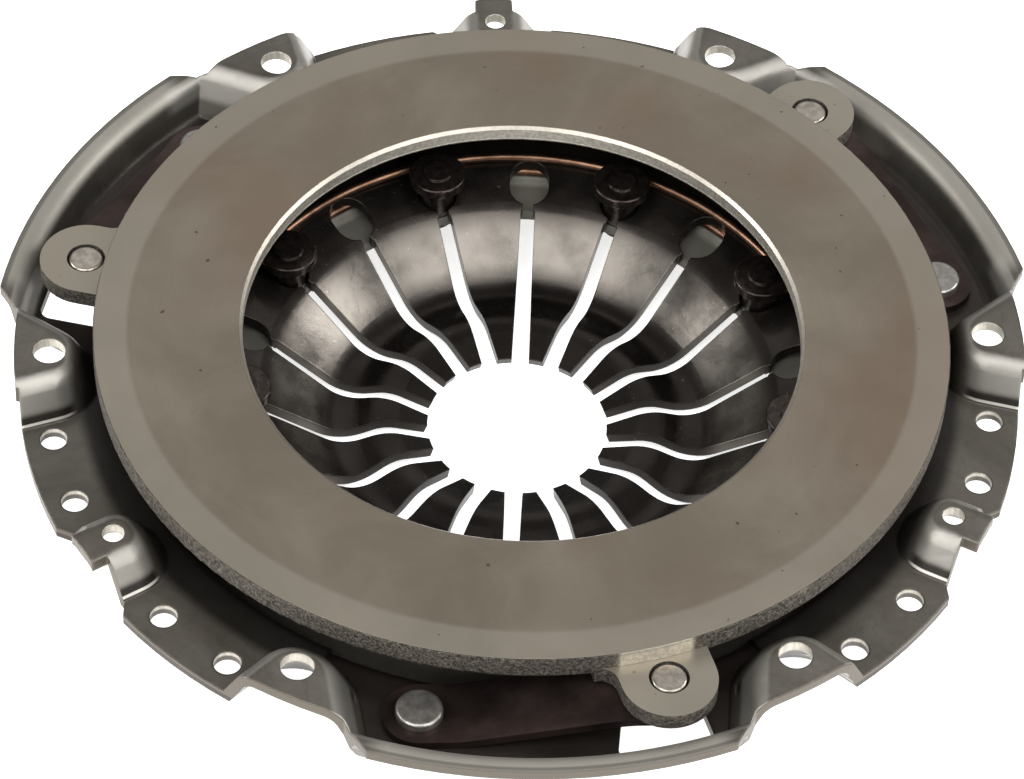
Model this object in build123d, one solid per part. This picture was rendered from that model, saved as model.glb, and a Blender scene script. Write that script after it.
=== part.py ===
from build123d import *
import os
from math import atan2, cos, degrees, hypot, radians, sin, tan

os.makedirs("parts", exist_ok=True)

# Clutch cover assembly for a 240 mm driven plate: a pressed steel cover carries a
# slotted diaphragm spring between two wire rings, and three packs of leaf springs
# carry the cast pressure plate. Millimetres. The bolting face of the cover is
# Z = 0 and its axis is Z; +Z points at the flywheel. Free state: nothing is
# bolted down, so the pressure plate stands out past the bolting face.

# ---- driving dimensions ------------------------------------------------------
# layout: three equal sections, each with a dowel pad in its middle, a bolt pad at
# each end, and a strap pocket between its last bolt pad and the next section
sections = 3
section_angle = 360 / sections
first_section = 90.0          # azimuth of the first dowel pad
bolt_angle = 30.0             # from the dowel pad to each bolt pad
balance_angles = (10.4, 20.6)
bolt_circle_r = 133.4
bolt_hole_r = 4.6
dowel_hole_r = 3.1
balance_circle_r = 134.2
balance_hole_r = 3.8

# cover
sheet = 3.2                   # thickness of the pressed sheet
wall_gap = 5.0                # from the diaphragm spring's rim to the wall
flange_depth = 12.8           # from the bolting face down to the flange
flange_margin = 9.0           # from the bolt circle out to the flange's edge
pad_margin = 9.9              # from the bolt circle out to a pad's edge
plate_gap = 5.4               # from the pressure plate to the flat top of a pad
pad_crown_r = 7.5             # rounding along the top edge of a pad
bolt_pad_draft = 27.0         # slope of the flanks from the vertical
bolt_pad_corner_r = 8.5
bolt_pad_recess = (7.0, 12.2) # half-widths of the top towards the recess: inner end, edge
bolt_pad_pocket = (6.0, 18.6) # and towards the strap pocket
dowel_pad_drop = 1.3          # the dowel pads lie this far under the bolt pads
dowel_pad_draft = 32.0
dowel_pad_corner_r = 5.5
dowel_pad_half = 6.8
dowel_tab_half = 5.6
dowel_neck = 4.8              # how far the flange is cut back beside a dowel tab
dowel_notch_half = 14.2
dowel_notch_run = 5.8         # the notch runs out to the flange's edge over this width
foot_r = 2.6                  # inside bend at the foot of a pocket's wall
wall_crown_r = 3.6            # bend from the flange into the wall

# strap pockets
pocket_depth = 14.7
pocket_half_angle = 20.6
pocket_wall_run = 4.0         # how far the pocket's wall leans out over its height
lip_depth = 3.2               # from the bolting face down to the lip
lip_width = 5.8
lip_start_angle = 1.5         # lip's full width begins this far past the pocket's end
lip_margin = 17.0             # from the bolt circle out to the lip's edge
lip_crown_r = 2.0
window_before_lug = 17.7      # at the window's outer edge
window_slant = 23.0           # its near side lies this far off the lug's radius
window_past_lug = 10.5
window_inner_r = 119.0
window_outer_r = 139.6
window_corner_r = 3.5

# pressure plate
face_standout = 7.3           # friction face above the bolting face, free state
face_outer_r = 121.0
face_inner_r = 80.0
face_chamfer = 1.0
rim_height = 7.4
bore_wall = 4.2
bore_relief = 1.6
web_thickness = 6.5           # thickness over the rivet heads
body_inner_r = 91.0
body_thickness = 10.4
rim_taper = 8.5
ridge_inset = 4.0             # thrust ridge, in from the diaphragm spring's rim
ridge_half_foot = 4.6
ridge_half_tip = 2.2
ridge_crown_r = 1.6
lift_clearance = 0.3

# lugs and straps
lug_reach = 6.7               # from the pressure plate's rim to the lug rivets
lug_angle = 14.5              # from the middle of a pocket to its lug rivet
strap_angle = 15.6            # from the middle of a pocket to its cover rivet
lug_r = 13.2
lug_drop = 5.4                # lug top under the friction face
lug_thickness = 5.2
lug_root_r = 5.0
lug_recess_r = 5.5
lug_recess_depth = 2.9
strap_leaves = 3
leaf_thickness = 0.85
leaf_gap = 0.05
leaf_width = 20.0
leaf_flat = 11.0              # flat length past a rivet before the bend
leaf_bend_r = 30.0
strap_rivet_r = 3.5
strap_head_r = 6.5
strap_foot_r = 6.0
strap_head_height = 2.7
strap_foot_height = 2.2
lug_rivet_top_r = 4.9
rivet_gap = 0.1               # radial play of a rivet shank in its holes
seat_gap = 0.05               # play left between stacked pieces

# diaphragm spring
spring_thickness = 3.0
spring_outer_r = 108.0
spring_tip_r = 25.9
fulcrum_r = 87.6
fulcrum_drop = 14.85          # spring's upper face at the fulcrum, under Z = 0
cone_angle = 18.0             # free cone angle of the outer ring
finger_count = 18
first_slot = 4.5
slot_root_width = 4.1
slot_tip_width = 5.0
slot_end_r = 72.3
slot_neck_width = 3.2
eye_r = 5.85
eye_stretch = 2.1
eye_centre_r = 79.5
finger_bend_r = 72.5          # the fingers leave the cone here
finger_knee_r = 51.5
finger_knee_drop = 35.3
finger_crown_r = 38.5
finger_crown_drop = 30.8
finger_tip_drop = 35.2
finger_bend_round = 13.0
finger_knee_round = 11.0
finger_crown_round = 13.0

# fulcrum rings and rivets
wire_r = 1.3
ring_joint = 1.5
fulcrum_rivets = 9
first_rivet = 24.5
fulcrum_rivet_circle = 79.7
collar_r = 8.4
collar_height = 3.2
hub_r = 4.2
hub_height = 0.6
tail_r = 3.3
tail_head_r = 5.0
tail_head_height = 2.4
spacer_gap = 0.6              # between a rivet's spacer and its spring eye

# cover floor under the spring
cover_bore_r = 74.2
floor_step = 2.2              # the floor drops this far inside the back ring
step_inner_r = 85.2
step_run = 1.6
step_round = 1.5

# ---- worked out from them -----------------------------------------------------
cone = radians(cone_angle)
wire_rise = (wire_r + seat_gap) / cos(cone)
front_ring_z = -fulcrum_drop + wire_rise
back_ring_z = -fulcrum_drop - spring_thickness / cos(cone) - wire_rise
floor_z = back_ring_z - wire_r - seat_gap
lug_top = face_standout - lug_drop
lug_under = lug_top - lug_thickness
spacer_r = eye_r - spacer_gap
leaf_pitch = leaf_thickness + leaf_gap
pack_height = strap_leaves * leaf_pitch
pocket_centre = first_section + section_angle / 2
wall_r = spring_outer_r + wall_gap
ridge_r = spring_outer_r - ridge_inset
lug_circle_r = face_outer_r + lug_reach
flange_r = bolt_circle_r + flange_margin
pad_edge_r = bolt_circle_r + pad_margin
pad_inner_r = face_outer_r + plate_gap
lip_r = bolt_circle_r + lip_margin
lip_inner_r = lip_r - lip_width
pocket_wall_foot_r = lip_inner_r - pocket_wall_run
rivet_floor_z = floor_z - floor_step
wall_top_z = -pocket_depth - wall_crown_r
bend_r = 0.95 * (wall_top_z - floor_z)
far = 200.0


def polar(r, angle, z=0.0):
    return Vector(r * cos(radians(angle)), r * sin(radians(angle)), z)


def around(angle):
    return Rotation(0, 0, angle)


def upright(r, angle, z=0.0):
    """Place at radius r with local X pointing outwards."""
    return around(angle) * Location((r, 0, z))


def disc(r, low, high):
    return Location((0, 0, low)) * Cylinder(
        r, high - low, align=(Align.CENTER, Align.CENTER, Align.MIN))


# ---- cover --------------------------------------------------------------------
def bump(left, right, draft, corner, top, base, inset=0.0):
    """A drafted pad; local X is outwards, Y the azimuth.

    left and right are the half-widths of its flat top at its inner end and at its
    edge. inset shrinks it by one sheet thickness to make the hollow under it."""
    end = lip_r + 2 * sheet
    reach = (end - pad_inner_r) / (pad_edge_r - pad_inner_r)
    sides = [w[0] + (w[1] - w[0]) * reach for w in (left, right)]
    outline = FilletPolyline((end, -sides[0]), (pad_inner_r, -left[0]), (pad_inner_r, right[0]),
                             (end, sides[1]), close=False, radius=corner)
    face = make_face(outline.edges() + [Line((end, sides[1]), (end, -sides[0]))])
    if inset:
        face = offset(face, inset * (tan(radians(draft)) - 1 / cos(radians(draft))))
    block = Location((0, 0, top - inset)) * extrude(
        face, base - top + inset, taper=-draft, dir=(0, 0, 1))
    rim = [e for e in block.edges().filter_by_position(Axis.Z, top - inset - 0.01, top - inset + 0.01)
           if e.center().X < end - 3]
    return fillet(rim, pad_crown_r - inset)


def mirrored(shape, angle):
    """Mirror across the radial plane at this azimuth."""
    return mirror(shape, Plane((0, 0, 0), x_dir=polar(1, angle), z_dir=polar(1, angle + 90)))


def section_pads(inset=0.0):
    """The dowel pad and the two bolt pads of one section."""
    base = -pocket_depth - sheet
    half = (dowel_pad_half, dowel_pad_half)
    dowel_pad = bump(half, half, dowel_pad_draft, dowel_pad_corner_r, -dowel_pad_drop, base, inset)
    bolt_pad = around(first_section + bolt_angle) * bump(
        bolt_pad_recess, bolt_pad_pocket, bolt_pad_draft, bolt_pad_corner_r, 0.0, base, inset)
    return [around(first_section) * dowel_pad, bolt_pad, mirrored(bolt_pad, first_section)]


def recess_profile(r0, bottom, inset):
    """Flange between the pads as a closed (r, z) face."""
    past = lip_r + sheet
    top = -flange_depth - inset
    path = FilletPolyline((r0, bottom), (r0, top), (past, top), radius=[wall_crown_r - inset])
    under = Polyline((past, top), (past, bottom), (r0, bottom))
    return Plane.XZ * make_face(path.edges() + under.edges())


def pocket_profile(r0, bottom, inset):
    """Floor, wall and lip of a strap pocket as a closed (r, z) face."""
    lean = (lip_inner_r - pocket_wall_foot_r) / (pocket_depth - lip_depth)
    shift = inset * hypot(1, lean) - inset * lean
    past = lip_r + sheet
    path = FilletPolyline(
        (r0, bottom), (r0, -pocket_depth - inset),
        (pocket_wall_foot_r + shift, -pocket_depth - inset),
        (lip_inner_r + shift, -lip_depth - inset), (past, -lip_depth - inset),
        radius=[wall_crown_r - inset, foot_r + inset, lip_crown_r + sheet - inset])
    under = Polyline((past, -lip_depth - inset), (past, bottom), (r0, bottom))
    return Plane.XZ * make_face(path.edges() + under.edges())


def pressing(inset, r0, bottom):
    """One section under the pressed top surface, or under its lower face when inset."""
    half = section_angle / 2 - bolt_angle
    recess = around(first_section - bolt_angle) * revolve(
        recess_profile(r0, bottom, inset), Axis.Z, 2 * bolt_angle)
    pocket = around(first_section + bolt_angle) * revolve(
        pocket_profile(r0, bottom, inset), Axis.Z, half)
    body = recess.fuse(pocket, mirrored(pocket, first_section), *section_pads(inset))
    return body - disc(r0, -far, far)


def edge_plan():
    """Outer edge of one section seen along Z, about an azimuth of zero."""
    pad_start = bolt_angle - degrees(bolt_pad_recess[1] / pad_edge_r)
    pad_end = bolt_angle + degrees(bolt_pad_pocket[1] / pad_edge_r)
    lip_start = section_angle / 2 - pocket_half_angle + lip_start_angle
    half = section_angle / 2
    end = polar(far, half)
    right = make_face(Polyline((0, 0), polar(lip_r, lip_start), polar(far, lip_start), end, close=True)
                      ) & Circle(lip_r)
    flare = make_face(Polyline((0, 0), polar(pad_edge_r, pad_end), polar(lip_r, lip_start), close=True))
    pads = make_face(Polyline((0, 0), polar(far, pad_start), polar(far, pad_end + 1), close=True)
                     ) & Circle(pad_edge_r)
    flange = make_face(Polyline((0, 0), (far, 0), polar(far, pad_start + 1), close=True)
                       ) & Circle(flange_r)
    neck_r = pad_edge_r - dowel_neck
    past = 3 * (flange_r - neck_r)
    notch = make_face(Polyline(
        (neck_r, 0), (neck_r, dowel_notch_half), (neck_r + past, dowel_notch_half + 3 * dowel_notch_run),
        (neck_r + past, 0), close=True))
    tab = Rectangle(far, dowel_tab_half, align=(Align.MIN, Align.MIN)) & Circle(pad_edge_r)
    upper = (flange - notch) + tab + pads + flare + right
    return upper + mirror(upper, Plane.XZ)


plan = edge_plan()
under = -pocket_depth - wall_crown_r - sheet
upper = pressing(0.0, wall_r, under)
lower = pressing(sheet, wall_r + sheet, -far)
outline = around(first_section) * Location((0, 0, under)) * extrude(plan, -under + 1)
one_section = (upper - lower) & outline


def hole(r, circle, angle):
    """Cutter for a through hole."""
    return upright(circle, angle, -far / 2) * Cylinder(r, far)


section_holes = [hole(dowel_hole_r, bolt_circle_r, first_section)]
for side in (-1, 1):
    section_holes.append(hole(bolt_hole_r, bolt_circle_r, first_section + side * bolt_angle))
    for angle in balance_angles:
        section_holes.append(hole(balance_hole_r, balance_circle_r, first_section + side * angle))
section_holes.append(hole(strap_rivet_r + rivet_gap, lug_circle_r,
                          first_section + section_angle / 2 - strap_angle))
for cutter in section_holes:
    one_section = one_section - cutter
window_near = (window_outer_r - window_inner_r) * tan(radians(window_slant)) - window_before_lug
window = make_face(Polyline(
    (window_inner_r, window_near), (window_outer_r, -window_before_lug),
    (window_outer_r, window_past_lug), (window_inner_r, window_past_lug), close=True))
window = fillet(window.vertices(), window_corner_r)
window = Location((0, 0, -far / 2)) * extrude(window, far / 2 - pocket_depth / 2)
one_section = one_section - around(first_section - section_angle / 2 + lug_angle) * window
flange = one_section
for i in range(1, sections):
    flange = flange.fuse(around(i * section_angle) * one_section)


def bowl_line(inset):
    """Wall, floor and step down to the rivets: the upper face, or the lower one when inset."""
    slope = atan2(floor_step, step_run)
    shift = inset * tan(slope / 2)
    inner = step_inner_r + shift
    return FilletPolyline(
        (wall_r + inset, wall_top_z), (wall_r + inset, floor_z - inset),
        (inner + step_run, floor_z - inset), (inner, rivet_floor_z - inset),
        (cover_bore_r, rivet_floor_z - inset), radius=[bend_r + inset, step_round, step_round])


def bowl():
    """Wall and floor inside the flange, down to the cover's central opening."""
    inner, outer = bowl_line(0.0), bowl_line(sheet)
    ends = [Line(inner @ 0, outer @ 0), Line(inner @ 1, outer @ 1)]
    return revolve(Plane.XZ * make_face(inner.edges() + outer.edges() + ends), Axis.Z)


rivet_angles = [first_rivet + i * 360 / fulcrum_rivets for i in range(fulcrum_rivets)]
well = bowl()
for angle in rivet_angles:
    well = well - hole(tail_r + rivet_gap, fulcrum_rivet_circle, angle)
cover = flange.fuse(well)
pockets = [first_section + (i + 0.5) * section_angle for i in range(sections)]
export_step(cover, "parts/cover.step")


# ---- pressure plate -------------------------------------------------------------
def plate_section():
    """Friction face, rim, web and thrust ridge as a closed (r, z) face."""
    face = face_standout
    bore = face_inner_r - face_chamfer
    rim_low = face - rim_height
    web = face - web_thickness
    back = face - body_thickness
    ridge = ridge_tip_z
    foot = ridge_half_foot
    tip = ridge_half_tip
    return FilletPolyline(
        (bore + bore_relief, web), (bore, web + bore_relief), (bore, face - face_chamfer),
        (face_inner_r, face), (face_outer_r, face), (face_outer_r, rim_low),
        (face_outer_r - rim_taper, back), (ridge_r + foot, back), (ridge_r + tip, ridge),
        (ridge_r - tip, ridge), (ridge_r - foot, back), (body_inner_r + 2, back),
        (body_inner_r, web), close=True,
        radius=[0.1, 0.3, 0.3, 0.3, 0.4, 1.5, 2.0, 1.5, ridge_crown_r, ridge_crown_r, 1.5, 2.0, 1.5])


ridge_tip_z = (-fulcrum_drop + (ridge_r + ridge_half_tip - fulcrum_r) * tan(cone)
               + lift_clearance / cos(cone))
plate = revolve(Plane.XZ * make_face(plate_section()), Axis.Z)
lug_neck_r = face_outer_r - rim_taper
lug_outline = (Location((lug_circle_r, 0)) * Circle(lug_r)
               + Location((lug_neck_r, 0)) * Rectangle(
                   lug_circle_r - lug_neck_r, 2 * lug_r, align=(Align.MIN, Align.CENTER)))
root = Circle(face_outer_r - 0.01) & (Location((face_outer_r, 0)) * Rectangle(
    40, lug_r + lug_root_r, align=(Align.CENTER, Align.MAX)))
lug_outline = lug_outline + root
corner = lug_outline.vertices().sort_by_distance((face_outer_r, -lug_r))[0]
lug_outline = fillet(corner, lug_root_r)
lug = Location((0, 0, lug_under)) * extrude(lug_outline, lug_thickness)
lug = lug - disc(lug_neck_r, -far, far)
for angle in pockets:
    plate = plate.fuse(around(angle + lug_angle) * lug)
for angle in pockets:
    plate = plate - (upright(lug_circle_r, angle + lug_angle, lug_top - lug_recess_depth)
                     * disc(lug_recess_r, 0, far))
    plate = plate - (upright(lug_circle_r, angle + lug_angle, 0)
                     * disc(strap_rivet_r + rivet_gap, -far, far))
export_step(plate, "parts/pressure_plate.step")


# ---- diaphragm spring -------------------------------------------------------------
def spring_section():
    """Cone, bend, knee, crown and tip of a finger as a closed (r, z) face."""
    rim_z = -fulcrum_drop + (spring_outer_r - fulcrum_r) * tan(cone)
    bend_z = -fulcrum_drop + (finger_bend_r - fulcrum_r) * tan(cone)
    top = FilletPolyline(
        (spring_outer_r, rim_z), (finger_bend_r, bend_z), (finger_knee_r, -finger_knee_drop),
        (finger_crown_r, -finger_crown_drop), (spring_tip_r, -finger_tip_drop),
        radius=[finger_bend_round, finger_knee_round, finger_crown_round])
    return Plane.XZ * make_face(offset(top, spring_thickness, side=Side.LEFT))


spring = revolve(spring_section(), Axis.Z)
slot_outline = Polyline((spring_tip_r - 5, -slot_tip_width / 2), (spring_tip_r, -slot_tip_width / 2),
                        (slot_end_r, -slot_root_width / 2), (slot_end_r, slot_root_width / 2),
                        (spring_tip_r, slot_tip_width / 2), (spring_tip_r - 5, slot_tip_width / 2),
                        close=True)
neck = Location((slot_end_r - 1, 0)) * Rectangle(
    eye_centre_r - slot_end_r + 1, slot_neck_width, align=(Align.MIN, Align.CENTER))
eye = (Location((eye_centre_r, 0)) * Circle(eye_r)
       + Location((eye_centre_r + eye_stretch / 2, 0)) * Rectangle(eye_stretch, 2 * eye_r)
       + Location((eye_centre_r + eye_stretch, 0)) * Circle(eye_r))
slot = extrude(make_face(slot_outline) + neck + eye, far / 2)
for i in range(finger_count):
    spring = spring - around(first_slot + i * 360 / finger_count) * Location(
        (0, 0, -far / 2)) * slot
export_step(spring, "parts/diaphragm_spring.step")


# ---- fulcrum rings and their rivets -------------------------------------------------
joint = upright(fulcrum_r, rivet_angles[0]) * Box(4 * wire_r, ring_joint, far)
for name, z in (("fulcrum_ring_front", front_ring_z), ("fulcrum_ring_back", back_ring_z)):
    ring = Location((0, 0, z)) * Torus(fulcrum_r, wire_r) - joint
    export_step(ring, f"parts/{name}.step")

collar_z = front_ring_z + wire_r + seat_gap
for i, angle in enumerate(rivet_angles):
    under_z = rivet_floor_z - sheet
    rivet = (disc(tail_r, under_z - tail_head_height / 2, collar_z)
             + disc(spacer_r, rivet_floor_z, collar_z + collar_height / 2)
             + fillet(disc(collar_r, collar_z, collar_z + collar_height).edges().filter_by(
                 GeomType.CIRCLE), 0.6)
             + disc(hub_r, collar_z + collar_height / 2, collar_z + collar_height + hub_height))
    head = disc(tail_head_r, under_z - tail_head_height, under_z)
    head = fillet(head.edges().group_by(Axis.Z)[0], 1.4)
    rivet = upright(fulcrum_rivet_circle, angle) * (rivet + head)
    export_step(rivet, f"parts/fulcrum_rivet_{i + 1}.step")


# ---- leaf springs -----------------------------------------------------------------
def leaf(index):
    """One leaf from its cover rivet at X = 0 to its lug rivet at X = span."""
    low = index * leaf_pitch
    rise = lug_under - seat_gap - pack_height - (-pocket_depth + seat_gap)
    past = leaf_width / 2
    path = FilletPolyline(
        (-past, low), (leaf_flat, low), (strap_span - leaf_flat, low + rise),
        (strap_span + past, low + rise), radius=[leaf_bend_r, leaf_bend_r])
    band = Plane.XZ * make_face(offset(path, leaf_thickness, side=Side.LEFT))
    band = extrude(band, leaf_width / 2, both=True)
    ends = extrude(Circle(leaf_width / 2) + Location((strap_span, 0)) * Circle(leaf_width / 2)
                   + Location((strap_span / 2, 0)) * Rectangle(strap_span, leaf_width),
                   far / 2, both=True)
    body = band & ends
    for x in (0, strap_span):
        body = body - Location((x, 0, 0)) * disc(strap_rivet_r + rivet_gap, -far, far)
    return body


strap_span = 2 * lug_circle_r * sin(radians(lug_angle + strap_angle) / 2)
strap_heading = 90 + (lug_angle - strap_angle) / 2
for i, angle in enumerate(pockets):
    start = polar(lug_circle_r, angle - strap_angle, -pocket_depth + seat_gap)
    for k in range(strap_leaves):
        placed = Location(start) * around(angle + strap_heading) * leaf(k)
        export_step(placed, f"parts/strap_{i + 1}_leaf_{k + 1}.step")

for i, angle in enumerate(pockets):
    top = -pocket_depth + seat_gap + pack_height
    head = fillet(disc(strap_head_r, top, top + strap_head_height).edges().group_by(Axis.Z)[-1], 1.0)
    foot_z = -pocket_depth - sheet
    foot = fillet(disc(strap_foot_r, foot_z - strap_foot_height, foot_z).edges().group_by(
        Axis.Z)[0], 1.0)
    rivet = disc(strap_rivet_r, foot_z - strap_foot_height / 2, top + 0.5) + head + foot
    export_step(upright(lug_circle_r, angle - strap_angle) * rivet,
                f"parts/strap_rivet_{i + 1}.step")

for i, angle in enumerate(pockets):
    seat = lug_top - lug_recess_depth
    crown = fillet(disc(lug_rivet_top_r, seat, lug_top - seat_gap).edges().group_by(Axis.Z)[-1], 0.9)
    pack_low = lug_under - seat_gap - pack_height
    foot = fillet(disc(strap_foot_r, pack_low - strap_foot_height, pack_low).edges().group_by(
        Axis.Z)[0], 1.0)
    rivet = disc(strap_rivet_r, pack_low - strap_foot_height / 2, seat + 0.5) + crown + foot
    export_step(upright(lug_circle_r, angle + lug_angle) * rivet,
                f"parts/lug_rivet_{i + 1}.step")
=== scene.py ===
import math

import bmesh
import bpy
from mathutils import Matrix, Vector


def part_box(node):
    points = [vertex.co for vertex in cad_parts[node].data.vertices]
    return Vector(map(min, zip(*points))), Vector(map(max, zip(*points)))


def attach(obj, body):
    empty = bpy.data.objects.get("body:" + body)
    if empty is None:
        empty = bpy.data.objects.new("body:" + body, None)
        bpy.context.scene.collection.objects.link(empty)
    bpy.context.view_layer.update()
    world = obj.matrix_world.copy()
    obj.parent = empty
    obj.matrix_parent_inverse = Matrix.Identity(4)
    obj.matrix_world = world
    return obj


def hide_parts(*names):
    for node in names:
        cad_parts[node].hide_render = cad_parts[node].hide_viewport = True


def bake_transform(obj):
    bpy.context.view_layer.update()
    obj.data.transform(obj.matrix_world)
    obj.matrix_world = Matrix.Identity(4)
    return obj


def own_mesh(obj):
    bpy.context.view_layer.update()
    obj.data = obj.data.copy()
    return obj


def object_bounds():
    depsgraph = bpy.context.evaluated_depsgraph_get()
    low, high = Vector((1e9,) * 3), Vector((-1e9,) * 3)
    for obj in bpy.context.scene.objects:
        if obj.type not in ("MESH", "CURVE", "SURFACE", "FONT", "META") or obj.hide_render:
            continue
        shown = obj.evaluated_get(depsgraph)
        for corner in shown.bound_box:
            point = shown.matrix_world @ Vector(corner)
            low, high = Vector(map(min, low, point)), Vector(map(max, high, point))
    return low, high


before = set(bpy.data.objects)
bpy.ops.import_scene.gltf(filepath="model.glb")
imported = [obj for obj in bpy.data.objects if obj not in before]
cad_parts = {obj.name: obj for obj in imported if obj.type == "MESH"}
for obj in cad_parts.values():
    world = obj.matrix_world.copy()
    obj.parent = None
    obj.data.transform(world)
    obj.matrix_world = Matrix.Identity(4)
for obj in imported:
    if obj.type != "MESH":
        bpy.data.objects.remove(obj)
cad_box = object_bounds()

# Looks of a diaphragm-spring clutch cover assembly. Metres and degrees, in the frame of the
# CAD part: the axis is Z, +Z points at the flywheel, and the cover's bolting pads lie at Z = 0.
# The assembly is three equal sections round its axis, so an azimuth stands for three places.
MM = 0.001
SECTION = 120.0

# Pressure plate and its lugs
FRICTION_FACE_Z = 7.3 * MM
FACE_INNER_R = 80 * MM
FACE_OUTER_R = 121 * MM
PALE_BAND_R = 110.6 * MM       # the friction face is paler outside this
PALE_BAND_SOFT = 1.8 * MM
BORE_WALL = 4.2 * MM           # height of the turned wall inside the ring
BORE_CHAMFER = 1.3 * MM
LUG_TOP_Z = 1.9 * MM
LUG_AZIMUTH = 44.5
LUG_CIRCLE_R = 127.7 * MM
RIM_CUT_HALF = 4.6             # the rim is turned bright this far each side of a lug
RIM_CUT_OFFSET = -0.6

# Cover
COVER_RIVET_AZIMUTH = 14.4     # rivets that hold the strap packs on the cover
PAD_AZIMUTH = 90.0             # middle of a section's three pads
PAD_HIGHLIGHT_HALF = 42.5          # the pads' flanks get a painted highlight this far each side
PAD_FOOT_HALF = 36.0           # and get painted crease shade and a painted highlight line at the foot this far
LIP_AZIMUTH = 30.0             # middle of a strap pocket and of its upturned lip
LIP_HALF = 17.0
POCKET_Z = -14.7 * MM
FLANGE_Z = -12.8 * MM
CREASE_SHADE_RISE = 1.4 * MM         # painted shade in the crease at a pad's foot, above the flange
FOOT_HIGHLIGHT_RISE = 0.8 * MM         # thin painted highlight line low in it
BOWL_R = 113 * MM              # the flange and the pockets lie outside the bowl
EDGE_R = 138.3 * MM            # the holes lie inside this, the sheet's outer edge outside
LIP_R = 143.0 * MM
LIP_EDGE_R = 150.4 * MM
PRESSING_ROUND = 1.1 * MM      # rounding of the pressed sheet's edges, in the shading only
STEEL_ROUND = 0.5 * MM         # and of the spring's and the rivets' edges
ROUND_SAMPLES = 6

# Diaphragm spring
SLOPE_R = 63 * MM              # middle of the fingers' slopes, where a highlight is painted
TIP_SHADE_R = 54 * MM           # inside this the fingers are darker, with painted shade

# Strap leaves bend between these shares of the way from the cover rivet to the lug rivet.
BEND_FROM, BEND_TO = 0.16, 0.84
LEAF_CUTS = 24

# ---- camera -----------------------------------------------------------------------
IMAGE_WIDTH = 1024
IMAGE_CENTRE_PX = (512.0, 389.5)
CAMERA_CENTRE_PX = (514.6, 390.1)
CAMERA_FOCAL_PX = 4686.4
CAMERA_ELEVATION = math.radians(47.85)
CAMERA_AZIMUTH = math.radians(5.69)
CAMERA_ROLL = math.radians(3.16)
CAMERA_DISTANCE = 1306.2 * MM
CAMERA_AIM = Vector((-1.25 * MM, -24.93 * MM, FRICTION_FACE_Z))
CAMERA_CLIP = 0.05
SENSOR_WIDTH = 36.0


def make_camera():
    """Camera at the photographed angle; the aim point and view turn together about Z."""
    data = bpy.data.cameras.new("camera")
    data.sensor_width = SENSOR_WIDTH
    data.lens = CAMERA_FOCAL_PX / IMAGE_WIDTH * SENSOR_WIDTH
    data.shift_x = (IMAGE_CENTRE_PX[0] - CAMERA_CENTRE_PX[0]) / IMAGE_WIDTH
    data.shift_y = (CAMERA_CENTRE_PX[1] - IMAGE_CENTRE_PX[1]) / IMAGE_WIDTH
    data.clip_start = CAMERA_CLIP
    camera = bpy.data.objects.new("camera", data)
    bpy.context.scene.collection.objects.link(camera)
    back = Vector((0, -math.cos(CAMERA_ELEVATION), math.sin(CAMERA_ELEVATION)))
    right = Vector((1, 0, 0))
    up = right.cross(-back)
    c, s = math.cos(CAMERA_ROLL), math.sin(CAMERA_ROLL)
    right, up = c * right + s * up, c * up - s * right
    turn = Matrix.Rotation(-CAMERA_AZIMUTH, 4, "Z")
    axes = Matrix((right, up, back)).transposed().to_4x4()
    place = Matrix.Translation(back * CAMERA_DISTANCE + CAMERA_AIM)
    camera.matrix_world = turn @ place @ axes
    bpy.context.scene.camera = camera


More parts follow.
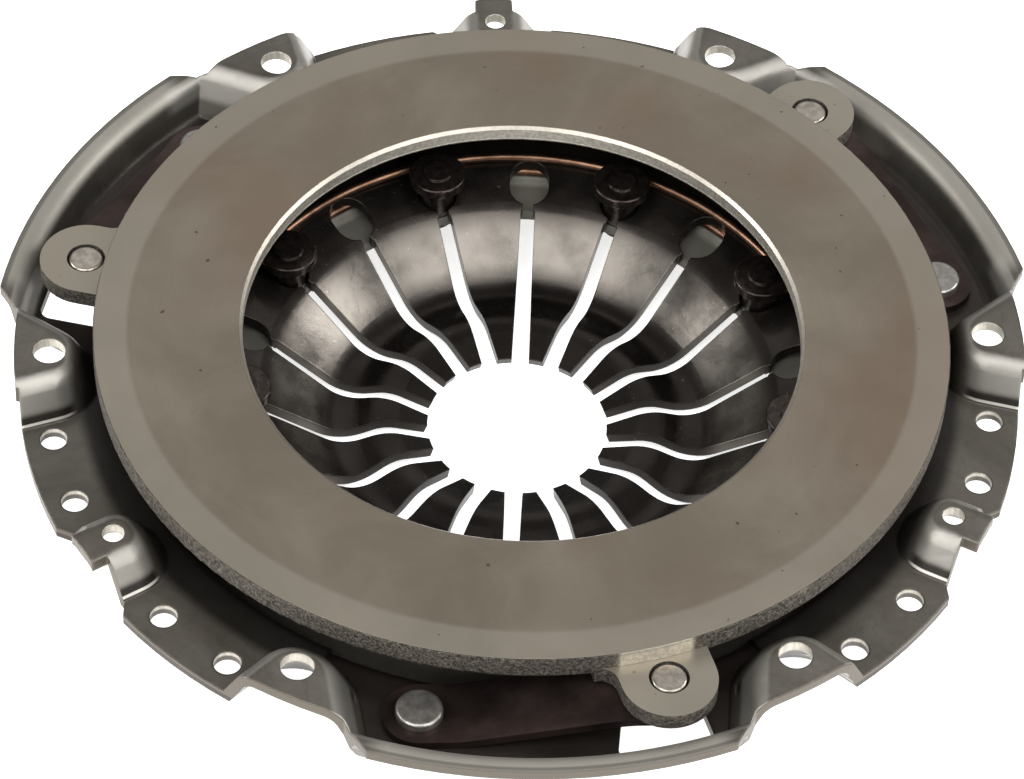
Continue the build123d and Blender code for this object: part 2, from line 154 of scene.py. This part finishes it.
# ---- material helpers ---------------------------------------------------------------
class Shader:
    """Small wrapper that makes and links the nodes of one material.

    A mask is a value from 0 to 1 that says where on the surface something shows. The scale
    of a noise is in cycles per metre.
    """

    def __init__(self, name):
        self.material = bpy.data.materials.new(name)
        self.material.use_nodes = True
        self.tree = self.material.node_tree
        self.principled = self.tree.nodes["Principled BSDF"]
        where = self.node("ShaderNodeTexCoord")
        self.where = where.outputs["Object"]
        self.normal = where.outputs["Normal"]

    def node(self, kind, inputs=None, **settings):
        made = self.tree.nodes.new(kind)
        for key, value in settings.items():
            setattr(made, key, value)
        for key, value in (inputs or {}).items():
            self.put(made.inputs[key], value)
        return made

    def put(self, socket, value):
        if isinstance(value, bpy.types.NodeSocket):
            self.tree.links.new(value, socket)
        else:
            socket.default_value = value

    def surface(self, **inputs):
        """Set Principled sockets by name, with spaces written as underscores."""
        for key, value in inputs.items():
            self.put(self.principled.inputs[key.replace("_", " ")], value)

    def math(self, operation, *values):
        inputs = dict(enumerate(values))
        return self.node("ShaderNodeMath", inputs, operation=operation).outputs[0]

    def vector_math(self, operation, *values):
        inputs = dict(enumerate(values))
        return self.node("ShaderNodeVectorMath", inputs, operation=operation).outputs

    # Masks
    def both(self, *masks):
        """Product of masks."""
        result = masks[0]
        for mask in masks[1:]:
            result = self.math("MULTIPLY", result, mask)
        return result

    def either(self, *masks):
        """The strongest of the masks."""
        result = masks[0]
        for mask in masks[1:]:
            result = self.math("MAXIMUM", result, mask)
        return result

    def without(self, mask):
        return self.math("SUBTRACT", 1.0, mask)

    def ramp(self, value, low, high, out_low=0.0, out_high=1.0):
        """Runs smoothly from out_low to out_high as value goes from low to high."""
        made = self.node("ShaderNodeMapRange", {
            "Value": value, "From Min": low, "From Max": high,
            "To Min": out_low, "To Max": out_high}, interpolation_type="SMOOTHSTEP")
        return made.outputs["Result"]

    def near(self, value, middle, half, soft):
        """1 while value is within half of middle, falling to 0 over soft."""
        away = self.math("ABSOLUTE", self.math("SUBTRACT", value, middle))
        return self.ramp(away, half, half + soft, 1.0, 0.0)

    # Places on the surface
    def parts(self, vector):
        return self.node("ShaderNodeSeparateXYZ", {0: vector}).outputs

    def from_axis(self):
        """The place with its height left out."""
        return self.vector_math("MULTIPLY", self.where, (1, 1, 0))[0]

    def radius(self):
        """Distance from the clutch axis."""
        return self.vector_math("LENGTH", self.from_axis())["Value"]

    def height(self):
        return self.parts(self.where)["Z"]

    def uprightness(self):
        """1 where the surface faces along the axis, 0 where it runs along it."""
        return self.math("ABSOLUTE", self.parts(self.normal)["Z"])

    def azimuth_from(self, azimuth):
        """Degrees from azimuth in the nearest of the three sections."""
        part = self.parts(self.where)
        angle = self.math("DEGREES", self.math("ARCTAN2", part["Y"], part["X"]))
        away = self.math("SUBTRACT", angle, azimuth)
        return self.math("WRAP", away, SECTION / 2, -SECTION / 2)

    def rings(self, across, along):
        """A vector that runs fast with the radius and slowly round the axis."""
        part = self.parts(self.vector_math("NORMALIZE", self.from_axis())[0])
        mixed = self.node("ShaderNodeCombineXYZ", {
            "X": self.math("MULTIPLY", part["X"], along),
            "Y": self.math("MULTIPLY", part["Y"], along),
            "Z": self.math("MULTIPLY", self.radius(), across)})
        return mixed.outputs[0]

    # Patterns, colours and bump
    def noise(self, scale, detail=4.0, roughness=0.55, vector=None, distortion=0.0):
        made = self.node("ShaderNodeTexNoise", {
            "Vector": vector or self.where, "Scale": scale, "Detail": detail,
            "Roughness": roughness, "Distortion": distortion})
        return made.outputs["Fac"]

    def blend(self, amount, a, b):
        """Colour a, turning into b as amount goes from 0 to 1."""
        made = self.node("ShaderNodeMix", {0: amount, 6: a, 7: b}, data_type="RGBA")
        return made.outputs[2]

    def mix(self, amount, a, b):
        """Number a, turning into b as amount goes from 0 to 1."""
        made = self.node("ShaderNodeMix", {0: amount, 2: a, 3: b}, data_type="FLOAT")
        return made.outputs[0]

    def relief(self, *layers, edge=0.0):
        """Bump layers, each a height and a distance, over edges rounded by edge."""
        normal = None
        if edge:
            rounded = self.node("ShaderNodeBevel", {"Radius": edge}, samples=ROUND_SAMPLES)
            normal = rounded.outputs[0]
        for height, distance in layers:
            made = self.node("ShaderNodeBump", {"Height": height, "Distance": distance})
            if normal is not None:
                self.put(made.inputs["Normal"], normal)
            normal = made.outputs[0]
        self.put(self.principled.inputs["Normal"], normal)


def srgb(r, g, b):
    """Linear RGBA of an sRGB colour given as 0 to 255."""
    def linear(v):
        v /= 255
        return v / 12.92 if v <= 0.04045 else ((v + 0.055) / 1.055) ** 2.4
    return (linear(r), linear(g), linear(b), 1.0)


# ---- colours ----------------------------------------------------------------------
GROUND_DARK, GROUND_LIGHT = srgb(117, 108, 95), srgb(137, 128, 115)
GROUND_STAIN = srgb(117, 98, 80)
GROUND_BAND = srgb(122, 113, 101)
GROUND_STREAK = srgb(116, 107, 95)
GROUND_PALE = srgb(162, 156, 143)
PIT = srgb(62, 50, 42)
TURNED_DARK, TURNED_LIGHT = srgb(176, 170, 159), srgb(208, 202, 190)
TURNED_CHAMFER = srgb(150, 144, 134)
CAST_DARK, CAST_LIGHT = srgb(56, 52, 48), srgb(118, 112, 104)
CAST_LUMP = srgb(142, 134, 122)

SHEET_DARK, SHEET_LIGHT = srgb(78, 74, 68), srgb(106, 102, 95)
SHEET_FINE = srgb(78, 71, 64)
TIDE_LINE = srgb(62, 56, 50)
TIDE_FILM = srgb(92, 84, 74)
SHEARED_DARK, SHEARED_LIGHT = srgb(168, 163, 152), srgb(196, 191, 180)
OUTER_EDGE = srgb(92, 85, 76)
# painted highlight on the lips' tops
LIP_TOP_HIGHLIGHT = srgb(180, 176, 166)
LIP_SIDE = srgb(96, 91, 84)
# painted shade along the lips' rims
LIP_RIM_SHADE = srgb(74, 71, 65)
# painted shade on the flange by the pressure plate
PAINTED_SHADE_BY_PLATE = srgb(22, 19, 17)
# painted highlight on the pads' flanks
PAD_FLANK_HIGHLIGHT = srgb(160, 157, 150)
# painted shade in the creases at the pads' feet
PAD_CREASE_SHADE = srgb(34, 30, 27)
# painted highlight line at the pads' feet
PAD_FOOT_HIGHLIGHT = srgb(216, 211, 202)
# painted shade on the pocket floors under the leaves
POCKET_SHADE = srgb(46, 39, 36)
BOWL_GREY = srgb(90, 88, 80)

SPRING_DARK, SPRING_LIGHT = srgb(40, 36, 33), srgb(62, 57, 53)
# painted highlight on the fingers' slopes
SPRING_SLOPE_HIGHLIGHT = srgb(120, 115, 108)
# painted shade towards the fingers' tips
SPRING_TIP_SHADE = srgb(34, 31, 29)
SPRING_SPECK = srgb(150, 140, 132)
COPPER, COPPER_TARNISH = srgb(136, 106, 87), srgb(94, 70, 56)
STRAP_DARK, STRAP_LIGHT = srgb(45, 36, 34), srgb(77, 64, 60)
FLOOR_DARK, FLOOR_LIGHT = (0.84, 0.84, 0.83, 1), (0.87, 0.87, 0.86, 1)

# Rivets: how their nodes' names begin, darker colour, lighter colour, roughness
RIVETS = (
    ("strap_rivet", srgb(132, 129, 125), srgb(162, 158, 153), 0.34),
    ("lug_rivet", srgb(138, 131, 122), srgb(174, 166, 156), 0.3),
    ("fulcrum_rivet", srgb(44, 38, 36), srgb(70, 62, 58), 0.24),
)


# ---- materials ----------------------------------------------------------------------
def cast_plate_material():
    """Ground friction face, turned bore and lug tops; rough-cast rim and back."""
    s = Shader("cast_plate")
    r, z, level = s.radius(), s.height(), s.uprightness()
    streak = s.noise(1.0, detail=5, roughness=0.65, vector=s.rings(2400, 3.0))
    band = s.noise(1.0, detail=3, roughness=0.5, vector=s.rings(240, 0.6))
    blotch = s.noise(22, detail=6, roughness=0.62, distortion=0.6)
    stain = s.noise(13, detail=3, roughness=0.5)
    grit = s.noise(1100, detail=6, roughness=0.7)
    lumps = s.noise(420, detail=3, roughness=0.5)
    pits = s.ramp(s.noise(300, detail=1), 0.775, 0.79)

    ground = s.blend(s.ramp(blotch, 0.3, 0.72), GROUND_DARK, GROUND_LIGHT)
    ground = s.blend(s.ramp(stain, 0.5, 0.7, 0.0, 0.6), ground, GROUND_STAIN)
    ground = s.blend(s.ramp(band, 0.38, 0.66, 0.0, 0.16), ground, GROUND_BAND)
    ground = s.blend(s.ramp(streak, 0.3, 0.75, 0.0, 0.2), ground, GROUND_STREAK)
    pale = s.ramp(r, PALE_BAND_R, PALE_BAND_R + PALE_BAND_SOFT, 0.0, 0.38)
    ground = s.blend(pale, ground, GROUND_PALE)
    ground = s.blend(s.both(pits, 0.7), ground, PIT)

    turned = s.blend(s.ramp(s.noise(900, detail=3), 0.3, 0.7), TURNED_DARK, TURNED_LIGHT)
    chamfer_z = FRICTION_FACE_Z - BORE_CHAMFER
    chamfer = s.ramp(z, chamfer_z, chamfer_z + 0.3 * MM)
    turned = s.blend(s.both(chamfer, 0.6), turned, TURNED_CHAMFER)
    cast = s.blend(s.ramp(grit, 0.34, 0.66), CAST_DARK, CAST_LIGHT)
    cast = s.blend(s.ramp(lumps, 0.62, 0.72, 0.0, 0.6), cast, CAST_LUMP)

    on_face = s.ramp(z, FRICTION_FACE_Z - 0.12 * MM, FRICTION_FACE_Z - 0.04 * MM)
    bore_foot_z = FRICTION_FACE_Z - BORE_WALL
    bore = s.both(s.ramp(r, FACE_INNER_R + 1.1 * MM, FACE_INNER_R + 1.3 * MM, 1.0, 0.0),
                  s.ramp(z, bore_foot_z - 0.5 * MM, bore_foot_z))
    past_rim = s.ramp(r, FACE_OUTER_R - 1.5 * MM, FACE_OUTER_R - 1.0 * MM)
    lug_top = s.both(s.near(z, LUG_TOP_Z, 0.1 * MM, 0.1 * MM), s.ramp(level, 0.9, 0.97),
                     past_rim)
    rim_cut = s.both(s.near(s.azimuth_from(LUG_AZIMUTH), RIM_CUT_OFFSET, RIM_CUT_HALF, 0.8),
                     s.without(on_face), s.ramp(z, LUG_TOP_Z, LUG_TOP_Z + 0.2 * MM),
                     past_rim)
    machined = s.either(bore, lug_top, rim_cut)
    smooth = s.either(machined, on_face)
    rough = s.without(smooth)
    turned = s.blend(lug_top, turned, s.blend(0.35, ground, GROUND_PALE))
    colour = s.blend(on_face, s.blend(machined, cast, turned), ground)
    s.surface(Base_Color=colour, Metallic=0.85,
              Roughness=s.mix(smooth, 0.62, s.ramp(blotch, 0.3, 0.7, 0.36, 0.46)))
    s.relief((s.both(grit, rough), 0.7 * MM), (s.both(lumps, rough), 0.6 * MM),
             (s.both(streak, on_face), 0.016 * MM), (s.both(s.noise(60), on_face), 0.03 * MM))
    return s.material


def cover_material():
    """Pressed sheet: dark oiled flats, bright hole walls, painted highlights on the flanks and
    lips, painted shade in the pockets, the creases and by the plate.
    """
    s = Shader("cover_steel")
    r, z, level = s.radius(), s.height(), s.uprightness()
    outside_bowl = s.ramp(r, BOWL_R, BOWL_R + 1 * MM)
    cloud = s.noise(20, detail=5, roughness=0.6, distortion=0.8)
    fine = s.noise(420, detail=4, roughness=0.6)
    tide = s.noise(34, detail=3, roughness=0.5, distortion=1.6)
    stretched = s.vector_math("MULTIPLY", s.where, (900, 900, 160))[0]
    shear_grain = s.noise(1.0, detail=4, vector=stretched)

    # Oiled sheet with dried tide marks
    base = s.blend(s.ramp(cloud, 0.3, 0.72), SHEET_DARK, SHEET_LIGHT)
    base = s.blend(s.ramp(fine, 0.35, 0.7, 0.0, 0.25), base, SHEET_FINE)
    tide_line = s.near(tide, 0.52, 0.003, 0.012)
    base = s.blend(s.both(tide_line, 0.16), base, TIDE_LINE)
    base = s.blend(s.ramp(tide, 0.56, 0.6, 0.0, 0.22), base, TIDE_FILM)

    # Sheared edges: bright in the holes, dark along the sheet's outer edge
    sheared = s.both(s.ramp(level, 0.05, 0.16, 1.0, 0.0),
                     s.ramp(r, BOWL_R + 5 * MM, BOWL_R + 8 * MM))
    unsheared = s.without(sheared)
    cut = s.blend(s.ramp(shear_grain, 0.3, 0.7), SHEARED_DARK, SHEARED_LIGHT)
    cut = s.blend(s.ramp(r, EDGE_R, EDGE_R + 0.3 * MM), cut, OUTER_EDGE)
    base = s.blend(sheared, base, cut)

    # Lips: a painted highlight on top, painted shade along the rim
    lip = s.both(s.ramp(r, LIP_R, LIP_R + 1.0 * MM),
                 s.near(s.azimuth_from(LIP_AZIMUTH), 0, LIP_HALF, 3))
    base = s.blend(s.both(lip, unsheared, 0.52), base, LIP_TOP_HIGHLIGHT)
    base = s.blend(s.both(lip, sheared, 0.7), base, LIP_SIDE)
    lip_rim_shade = s.ramp(r, LIP_EDGE_R - 1.9 * MM, LIP_EDGE_R - 1.2 * MM)
    base = s.blend(s.both(lip_rim_shade, unsheared, 0.6), base, LIP_RIM_SHADE)

    # Painted shade on the flange close to the pressure plate, under the plate's rim
    plate_shade = s.both(s.ramp(r, FACE_OUTER_R + 2 * MM, FACE_OUTER_R + 6.5 * MM, 1.0, 0.0),
                 outside_bowl)
    base = s.blend(s.both(plate_shade, 0.85), base, PAINTED_SHADE_BY_PLATE)

    # Flanks of the pads: a painted highlight, with painted shade in the crease and a thin
    # painted highlight line at the foot
    from_pads = s.azimuth_from(PAD_AZIMUTH)
    sloping = s.both(s.ramp(level, 0.9, 0.97, 1.0, 0.0), unsheared,
                     s.ramp(r, FACE_OUTER_R + 5 * MM, FACE_OUTER_R + 8 * MM))
    # painted highlight on the flanks
    flank_highlight = s.both(s.ramp(z, FLANGE_Z + 2.2 * MM, FLANGE_Z + 4.8 * MM), sloping,
                   s.near(from_pads, 0, PAD_HIGHLIGHT_HALF, 2))
    base = s.blend(s.both(flank_highlight, 0.62), base, PAD_FLANK_HIGHLIGHT)
    foot = s.both(sloping, s.near(from_pads, 0, PAD_FOOT_HALF, 1))
    # painted shade in the crease at the foot
    crease_shade = s.both(s.near(z, FLANGE_Z + CREASE_SHADE_RISE, 1.0 * MM, 1.4 * MM), foot)
    base = s.blend(s.both(crease_shade, 0.9), base, PAD_CREASE_SHADE)
    # a thin painted highlight line at the foot
    foot_highlight = s.both(s.near(z, FLANGE_Z + FOOT_HIGHLIGHT_RISE, 0.2 * MM, 0.3 * MM), foot)
    base = s.blend(foot_highlight, base, PAD_FOOT_HIGHLIGHT)

    # Painted shade on the floors of the strap pockets under the leaves, and the dull bowl
    # behind the spring
    pocket_shade = s.both(s.ramp(z, POCKET_Z + 1.0 * MM, POCKET_Z + 0.2 * MM), outside_bowl)
    base = s.blend(s.both(pocket_shade, 0.85), base, POCKET_SHADE)
    bowl = s.ramp(r, BOWL_R - 6 * MM, BOWL_R - 12 * MM)
    base = s.blend(bowl, base, BOWL_GREY)

    gloss = s.ramp(s.noise(46, detail=3), 0.3, 0.7, 0.3, 0.43)
    dull = s.either(bowl, s.both(lip, 0.6))
    s.surface(Base_Color=base, Metallic=s.mix(bowl, 0.7, 0.3),
              Roughness=s.mix(dull, gloss, 0.6))
    s.relief((cloud, 0.35 * MM), (fine, 0.025 * MM),
             (s.both(shear_grain, sheared), 0.05 * MM), edge=PRESSING_ROUND)
    return s.material


def spring_material():
    """Dark hardened steel, with a painted highlight on the fingers' slopes and painted shade
    towards their tips.
    """
    s = Shader("spring_steel")
    r = s.radius()
    cloud = s.noise(35, detail=4)
    specks = s.ramp(s.noise(700, detail=2), 0.7, 0.78)
    base = s.blend(s.ramp(cloud, 0.3, 0.72), SPRING_DARK, SPRING_LIGHT)
    # painted highlight on the fingers' slopes
    slope_highlight = s.both(s.near(r, SLOPE_R, 2.5 * MM, 8.5 * MM),
                       s.ramp(s.noise(90, detail=3), 0.2, 0.7, 0.3, 0.8))
    base = s.blend(slope_highlight, base, SPRING_SLOPE_HIGHLIGHT)
    # painted shade towards the fingers' tips
    tip_shade = s.ramp(r, TIP_SHADE_R + 6 * MM, TIP_SHADE_R, 0.0, 0.5)
    base = s.blend(tip_shade, base, SPRING_TIP_SHADE)
    base = s.blend(s.both(specks, 0.4), base, SPRING_SPECK)
    s.surface(Base_Color=base, Metallic=0.9,
              Roughness=s.ramp(s.noise(90), 0.3, 0.7, 0.22, 0.32))
    s.relief((cloud, 0.25 * MM), (s.noise(800), 0.02 * MM), edge=STEEL_ROUND)
    return s.material


def copper_material():
    """Copper-coloured wire with darker tarnish."""
    s = Shader("copper_wire")
    tarnish = s.ramp(s.noise(160, detail=4), 0.35, 0.7)
    s.surface(Base_Color=s.blend(tarnish, COPPER, COPPER_TARNISH), Metallic=1.0,
              Roughness=0.34)
    s.relief((s.noise(900), 0.01 * MM))
    return s.material


def strap_material():
    """Dark brown spring leaves."""
    s = Shader("strap_steel")
    cloud = s.noise(50, detail=4)
    s.surface(Base_Color=s.blend(s.ramp(cloud, 0.3, 0.7), STRAP_DARK, STRAP_LIGHT),
              Metallic=0.88, Roughness=s.ramp(s.noise(120), 0.3, 0.7, 0.3, 0.42))
    s.relief((cloud, 0.2 * MM), (s.noise(800), 0.02 * MM))
    return s.material


def rivet_material(name, dark, light, roughness):
    """Mottled steel heads."""
    s = Shader(name)
    mottle = s.noise(420, detail=5, roughness=0.65)
    s.surface(Base_Color=s.blend(s.ramp(mottle, 0.3, 0.7), dark, light), Metallic=0.9,
              Roughness=s.ramp(s.noise(300), 0.3, 0.7, roughness - 0.05, roughness + 0.06))
    s.relief((mottle, 0.09 * MM), edge=STEEL_ROUND)
    return s.material


def floor_material():
    """Pale plain floor that glows a little, so that it stays nearly white."""
    s = Shader("floor")
    tone = s.blend(s.ramp(s.noise(3), 0.3, 0.7), FLOOR_DARK, FLOOR_LIGHT)
    s.surface(Base_Color=tone, Roughness=0.9, Specular_IOR_Level=0.1,
              Emission_Color=tone, Emission_Strength=0.85)
    return s.material


def dress(beginning, material):
    """Give CAD nodes a material in place of the plain one, by how their names begin."""
    for name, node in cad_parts.items():
        if name.startswith(beginning):
            for mesh_slot in node.material_slots:
                mesh_slot.material = material


def dress_all():
    dress("cover", cover_material())
    dress("pressure_plate", cast_plate_material())
    dress("diaphragm_spring", spring_material())
    dress("fulcrum_ring", copper_material())
    dress(("strap_1_", "strap_2_", "strap_3_"), strap_material())
    for beginning, dark, light, roughness in RIVETS:
        dress(beginning, rivet_material(beginning + "_steel", dark, light, roughness))


# ---- parts that bend ------------------------------------------------------------------
def bending_copy(node):
    """A copy of a CAD node's mesh that stands for it and may change its shape."""
    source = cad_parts[node]
    piece = bpy.data.objects.new(node + "_flexed", source.data.copy())
    bpy.context.scene.collection.objects.link(piece)
    piece.matrix_world = source.matrix_world.copy()
    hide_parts(node)
    return piece


def cross_cut(piece, start, end, count):
    """Cut a mesh across at even steps from start to end, so that it can bend there."""
    mesh = bmesh.new()
    mesh.from_mesh(piece.data)
    for k in range(count + 1):
        bmesh.ops.bisect_plane(
            mesh, geom=mesh.verts[:] + mesh.edges[:] + mesh.faces[:],
            plane_co=start.lerp(end, k / count), plane_no=end - start)
    mesh.to_mesh(piece.data)
    mesh.free()


def rivet_place(azimuth):
    """Place of a strap's rivet; the cover's and the lugs' rivets lie on one circle."""
    a = math.radians(azimuth)
    return Vector((LUG_CIRCLE_R * math.cos(a), LUG_CIRCLE_R * math.sin(a), POCKET_Z))


def bend_straps():
    """Copy each leaf in place of its CAD node and cut it across between its rivets, where a
    leaf bends as the plate moves.
    """
    half = (LUG_AZIMUTH - COVER_RIVET_AZIMUTH) / 2
    for node in [f"strap_{pack}_leaf_{leaf}" for pack in (1, 2, 3) for leaf in (1, 2, 3)]:
        piece = bending_copy(node)
        low, high = (Vector(corner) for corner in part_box(node))
        middle = (low + high) / 2
        azimuth = math.degrees(math.atan2(middle.y, middle.x))
        cover_rivet, lug_rivet = rivet_place(azimuth - half), rivet_place(azimuth + half)
        start = cover_rivet.lerp(lug_rivet, BEND_FROM)
        end = cover_rivet.lerp(lug_rivet, BEND_TO)
        cross_cut(piece, start, end, LEAF_CUTS)
        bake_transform(piece)


def flatten_spring():
    """Copy the diaphragm spring, which flattens towards its fulcrum as the plate is pushed
    down, with its own mesh, on the cover's body.
    """
    piece = bending_copy("diaphragm_spring")
    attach(piece, "cover_assembly")
    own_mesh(piece)


# ---- floor and light ------------------------------------------------------------------
FLOOR_SIZE = 12
WORLD_STRENGTH = 0.27
# Softboxes aimed at the middle: name, azimuth, elevation, distance, width, height, watts
SOFTBOXES = (
    ("front_left", -130, 45, 1.7, 1.1, 2.0, 29),
    ("front_right", -50, 45, 1.7, 1.1, 2.0, 29),
    ("left", 172, 24, 1.5, 0.6, 0.7, 12),
    ("right", 8, 28, 1.5, 0.6, 0.7, 12),
    ("back", 85, 44, 1.8, 1.8, 0.9, 3.5),
)


def make_floor():
    bpy.ops.mesh.primitive_plane_add(size=FLOOR_SIZE, location=(0, 0, cad_box[0].z))
    floor = bpy.context.object
    floor.name = "floor"
    floor.data.materials.append(floor_material())


def softbox(name, azimuth, elevation, distance, width, height, watts):
    data = bpy.data.lights.new(name, "AREA")
    data.shape = "RECTANGLE"
    data.size, data.size_y = width, height
    data.energy = watts
    a, e = math.radians(azimuth), math.radians(elevation)
    direction = Vector((math.cos(a) * math.cos(e), math.sin(a) * math.cos(e), math.sin(e)))
    lamp = bpy.data.objects.new(name, data)
    bpy.context.scene.collection.objects.link(lamp)
    lamp.location = direction * distance
    lamp.rotation_euler = (-direction).to_track_quat("-Z", "Y").to_euler()


def make_lights():
    world = bpy.data.worlds.new("studio")
    bpy.context.scene.world = world
    world.use_nodes = True
    background = world.node_tree.nodes["Background"]
    background.inputs["Color"].default_value = (1, 1, 1, 1)
    background.inputs["Strength"].default_value = WORLD_STRENGTH
    for row in SOFTBOXES:
        softbox(*row)


bpy.context.scene.view_settings.view_transform = "Standard"
make_camera()
dress_all()
bend_straps()
flatten_spring()
make_floor()
make_lights()
